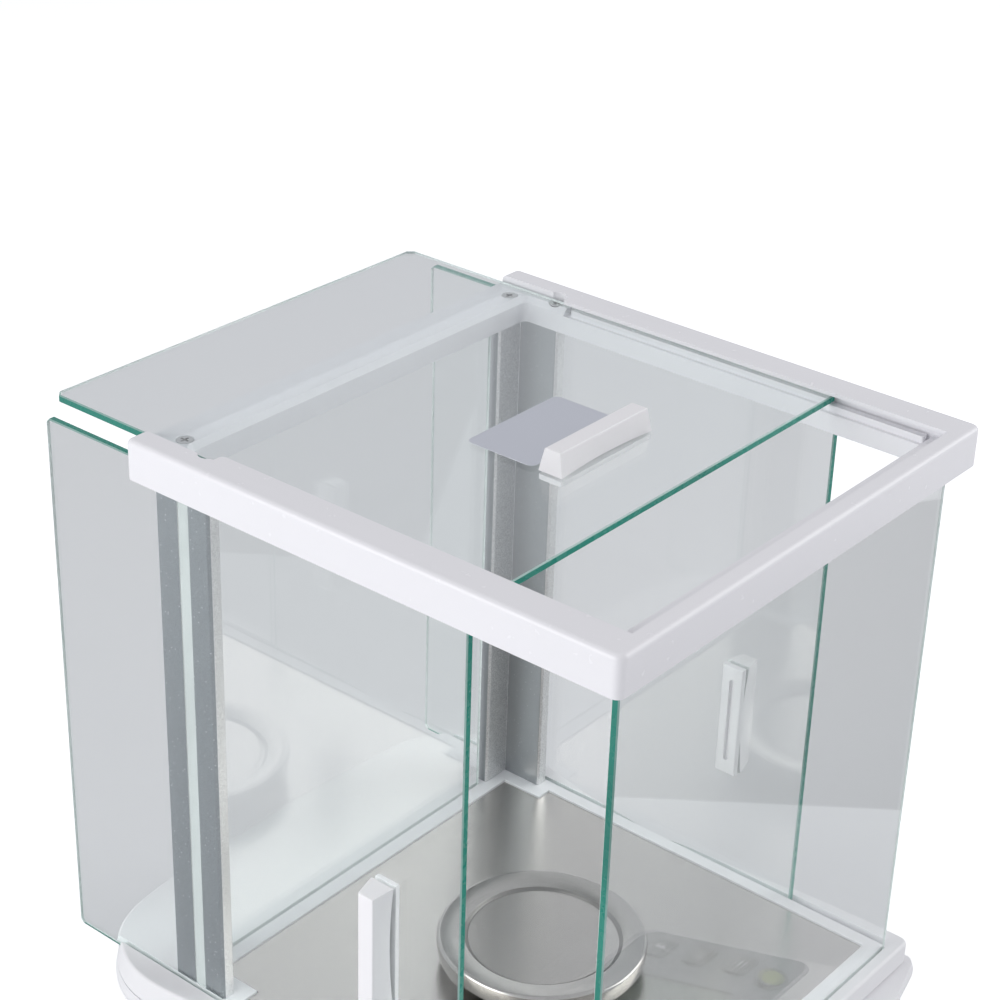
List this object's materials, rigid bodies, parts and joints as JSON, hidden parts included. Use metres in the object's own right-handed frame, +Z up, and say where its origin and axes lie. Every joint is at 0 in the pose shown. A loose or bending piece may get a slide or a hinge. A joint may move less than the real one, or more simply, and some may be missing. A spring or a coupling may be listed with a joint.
{
  "type": "analytical balance",
  "caption": "Analytical balance with a weighing pan inside a glass draught shield whose side and roof doors slide on grooves, with a sloping display and key console",
  "frame": {"origin": "on the bench, under the centre of the object's box; the pan's axis is 25.8 mm behind it", "axes": "+Z up, +X to the user's right, +Y to the rear, the console faces -Y"},
  "size_m": [0.2272, 0.3644, 0.332],
  "materials": {
    "white_housing": "moulded ABS, fine satin texture",
    "white_frame": "smooth semi-gloss moulded plastic",
    "white_handle": "smooth semi-gloss moulded plastic",
    "pane_glass": "clear float glass with polished green edges",
    "stainless": "brushed stainless steel",
    "pan_steel": "fine circular-brushed stainless steel with a polished rim",
    "anodised": "bead-blasted clear anodised extrusion",
    "seal": "light grey sealing strip",
    "screw_steel": "nickel-plated steel",
    "label_foil": "satin silver foil, left bare",
    "glide": "white nylon",
    "panel_grey": "fine-textured grey panel",
    "window": "clear acrylic window",
    "module": "black display module with a grey-green field",
    "key_grey": "dark grey key with a light mark",
    "key_accent": "slate grey key with a light mark",
    "board": "green circuit board",
    "level_ring": "black level housing",
    "level_fluid": "yellow-green spirit level vial",
    "foot_rubber": "black rubber",
    "foot_plastic": "black fluted thumbwheel",
    "zinc": "zinc-plated steel",
    "bottom": "grey painted die casting",
    "cell_alloy": "machined aluminium alloy",
    "magnet": "plated steel magnet pot",
    "socket": "black socket moulding",
    "port_metal": "plated connector shell",
    "collar": "dark grey collar"
  },
  "bodies": {
    "base": {"upper_shell": "white_housing", "body_shell": "white_housing", "console_shell": "white_housing", "bottom_plate": "bottom", "bottom_screws": "zinc", "rear_feet": "foot_rubber", "floor_plate": "stainless", "pan_collar": "collar", "left_column": "anodised", "right_column": "anodised", "column_seals": "seal", "column_screws": "zinc", "front_glass": "pane_glass", "rear_glass": "pane_glass", "top_frame": "white_frame", "frame_screws": "screw_steel", "roof_glides": "glide", "control_panel": "panel_grey", "display_window": "window", "display_module": "module", "key_board": "board", "key_switches": "socket", "level_cup": "level_ring", "level_vial": "level_fluid", "cell_block": "cell_alloy", "cell_magnet": "magnet", "cell_beam": "cell_alloy", "under_hook": "zinc", "circuit_board": "board", "port_plate": "panel_grey", "dc_inlet": "socket", "dc_pin": "port_metal", "data_port": "port_metal", "port_jackscrews": "zinc"},
    "pan": {"pan": "pan_steel", "pan_stem": "zinc"},
    "left_door": {"left_door_glass": "pane_glass", "left_door_handle": "white_handle", "left_door_backing": "white_handle"},
    "right_door": {"right_door_glass": "pane_glass", "right_door_handle": "white_handle", "right_door_backing": "white_handle"},
    "roof_door": {"roof_glass": "pane_glass", "roof_handle": "white_handle", "roof_backing": "white_handle", "roof_label": "label_foil"},
    "left_foot": {"left_foot_wheel": "foot_plastic", "left_foot_stud": "zinc", "left_foot_pad": "foot_rubber"},
    "right_foot": {"right_foot_wheel": "foot_plastic", "right_foot_stud": "zinc", "right_foot_pad": "foot_rubber"},
    "key_power": {"key_power": "key_grey"},
    "key_calibrate": {"key_calibrate": "key_grey"},
    "key_unit": {"key_unit": "key_grey"},
    "key_print": {"key_print": "key_grey"},
    "key_mode": {"key_mode": "key_grey"},
    "key_tare": {"key_tare": "key_accent"}
  },
  "joints": [
    {"name": "left_door_slide", "type": "slide", "parent": "base", "child": "left_door", "axis": [0, 1, 0], "range_m": [-0.0526, 0.075]},
    {"name": "right_door_slide", "type": "slide", "parent": "base", "child": "right_door", "axis": [0, 1, 0], "range_m": [-0.0448, 0.083]},
    {"name": "roof_door_slide", "type": "slide", "parent": "base", "child": "roof_door", "axis": [0, 1, 0], "range_m": [-0.0466, 0.095]},
    {"name": "pan_lift", "type": "slide", "parent": "base", "child": "pan", "axis": [0, 0, 1], "range_m": [0, 0.03]},
    {"name": "key_power_press", "type": "slide", "parent": "base", "child": "key_power", "axis": [0, -0.2924, 0.9563], "range_m": [-0.0006, 0], "stiffness_N_per_m": 800, "springref_m": 0.0005},
    {"name": "key_calibrate_press", "type": "slide", "parent": "base", "child": "key_calibrate", "axis": [0, -0.2924, 0.9563], "range_m": [-0.0006, 0], "stiffness_N_per_m": 800, "springref_m": 0.0005},
    {"name": "key_unit_press", "type": "slide", "parent": "base", "child": "key_unit", "axis": [0, -0.2924, 0.9563], "range_m": [-0.0006, 0], "stiffness_N_per_m": 800, "springref_m": 0.0005},
    {"name": "key_print_press", "type": "slide", "parent": "base", "child": "key_print", "axis": [0, -0.2924, 0.9563], "range_m": [-0.0006, 0], "stiffness_N_per_m": 800, "springref_m": 0.0005},
    {"name": "key_mode_press", "type": "slide", "parent": "base", "child": "key_mode", "axis": [0, -0.2924, 0.9563], "range_m": [-0.0006, 0], "stiffness_N_per_m": 800, "springref_m": 0.0005},
    {"name": "key_tare_press", "type": "slide", "parent": "base", "child": "key_tare", "axis": [0, -0.2924, 0.9563], "range_m": [-0.0006, 0], "stiffness_N_per_m": 800, "springref_m": 0.0005},
    {"name": "left_foot_turn", "type": "hinge", "parent": "base", "child": "left_foot", "pos_m": [-0.0755, -0.1562, 0.014], "axis": [0, 0, 1], "continuous": true},
    {"name": "right_foot_turn", "type": "hinge", "parent": "base", "child": "right_foot", "pos_m": [0.0755, -0.1562, 0.014], "axis": [0, 0, 1], "continuous": true}
  ]
}
